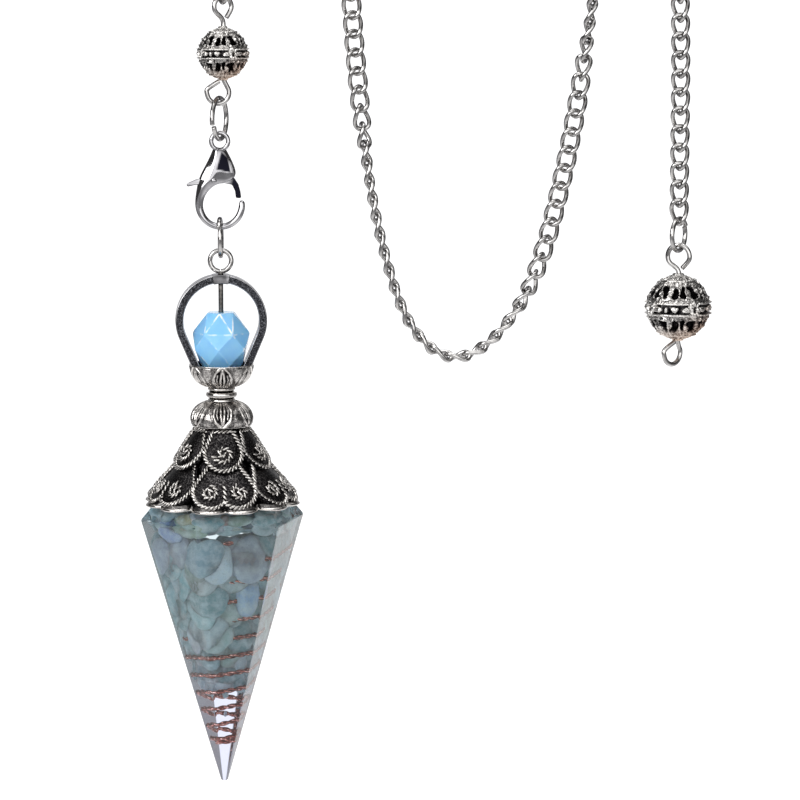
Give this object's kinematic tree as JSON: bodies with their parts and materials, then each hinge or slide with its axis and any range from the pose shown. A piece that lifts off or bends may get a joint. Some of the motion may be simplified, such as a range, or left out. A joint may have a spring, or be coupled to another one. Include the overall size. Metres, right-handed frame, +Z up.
{
  "type": "pendulum pendant on a chain",
  "caption": "Faceted clear resin point with a copper coil and stone chips under a filigree cap, hung from a lobster clasp and a curb chain with filigree end beads.",
  "frame": {"origin": "top of the first arch of the chain, where the pendant hangs", "axes": "+X to the right along the chain's arches, +Y to the back, +Z up"},
  "size_m": [0.0713, 0.0202, 0.1085],
  "materials": {
    "bright_nickel": "polished plate on steel wire",
    "antique_silver": "antiqued cast white metal, bright on the ridges and black in the recesses",
    "gunmetal": "dark plated, fine grain",
    "blue_stone": "facetted translucent sky blue",
    "clear_resin": "cast clear resin, polished facets",
    "copper": "twisted copper wire",
    "pale_stone": "rough pale aqua and lilac chips"
  },
  "bodies": {
    "root": {"chain_left": "bright_nickel", "chain_right": "bright_nickel", "upper_eye_pin": "bright_nickel", "upper_filigree_bead": "antique_silver", "clasp_ring": "bright_nickel", "clasp_body": "bright_nickel", "end_ring": "bright_nickel", "end_eye_pin": "bright_nickel", "end_filigree_bead": "antique_silver"},
    "clasp_lever": {"clasp_lever": "bright_nickel"},
    "drop_ring": {"drop_ring": "bright_nickel"},
    "pendant": {"pendant_eye_pin": "bright_nickel", "bail_hoop": "gunmetal", "blue_bead": "blue_stone", "cup": "antique_silver", "spacer": "antique_silver", "dome_cap": "antique_silver", "skirt_cap": "antique_silver", "resin_cone": "clear_resin", "copper_coil": "copper", "stone_chips": "pale_stone"}
  },
  "joints": [
    {"name": "lever_hinge", "type": "hinge", "parent": "root", "child": "clasp_lever", "pos_m": [-0.0088, 0, -0.03151], "axis": [0, 1, 0], "range_deg": [0, 20], "stiffness_Nm_per_rad": 0.00002},
    {"name": "ring_swing", "type": "hinge", "parent": "root", "child": "drop_ring", "pos_m": [-0.0081, 0, -0.03726], "axis": [1, 0, 0], "range_deg": [-45, 45]},
    {"name": "pendant_swing", "type": "hinge", "parent": "drop_ring", "child": "pendant", "pos_m": [-0.0081, 0, -0.04093], "axis": [0, 1, 0], "range_deg": [-40, 40]}
  ]
}
